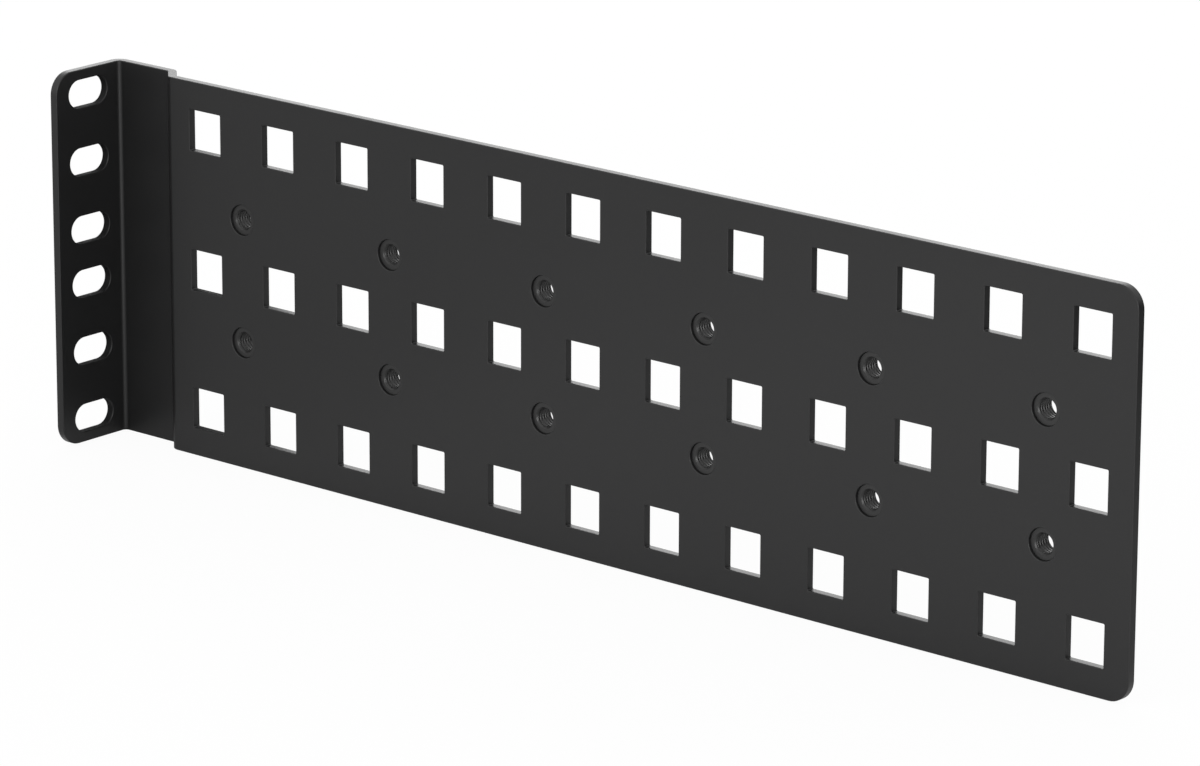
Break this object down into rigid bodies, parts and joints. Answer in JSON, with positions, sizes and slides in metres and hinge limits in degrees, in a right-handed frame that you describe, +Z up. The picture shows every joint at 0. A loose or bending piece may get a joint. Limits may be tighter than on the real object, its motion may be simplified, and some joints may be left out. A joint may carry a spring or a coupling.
{
  "type": "rack mount ear bracket",
  "caption": "Folded steel rack bracket: a slotted ear, a short strip and an offset plate with square cage-nut holes and threaded clinch nuts.",
  "frame": {"origin": "middle of the ear's slot pattern, on the face of the ear that lies against the rack rail", "axes": "+X from the ear along the plate, square to the ear; +Z up, along the folds; -Y is the side that the ear points to"},
  "size_m": [0.2915, 0.022, 0.0874],
  "materials": {
    "black_powder_coat": "satin",
    "black_nut": "satin"
  },
  "bodies": {
    "root": {"folded_sheet": "black_powder_coat", "clinch_nuts": "black_nut"}
  },
  "joints": []
}
